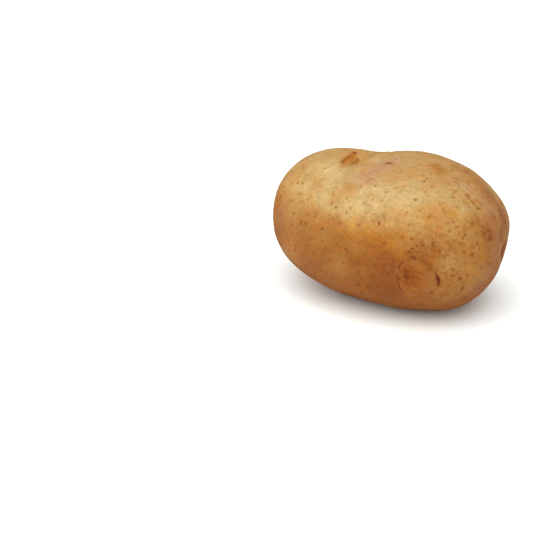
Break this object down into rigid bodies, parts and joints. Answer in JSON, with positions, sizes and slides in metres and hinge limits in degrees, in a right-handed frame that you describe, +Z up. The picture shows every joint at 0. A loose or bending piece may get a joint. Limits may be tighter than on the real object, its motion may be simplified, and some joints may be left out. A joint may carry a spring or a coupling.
{
  "type": "potato",
  "caption": "Whole raw table potato with thin tan skin, shallow eyes and fine pores, lying on its side on a small flat spot; for kitchen, market and food scenes.",
  "frame": {"origin": "on the resting plane, under the middle of the potato's box", "axes": "+X along the length to the rose end, where the eyes crowd; +Y across the width; +Z up from the resting spot"},
  "size_m": [0.104, 0.073, 0.062],
  "materials": {
    "skin": "thin russet-tan skin, satin, with soft paler and browner patches and fine dark pores"
  },
  "bodies": {
    "root": {"potato": "skin"}
  },
  "joints": []
}
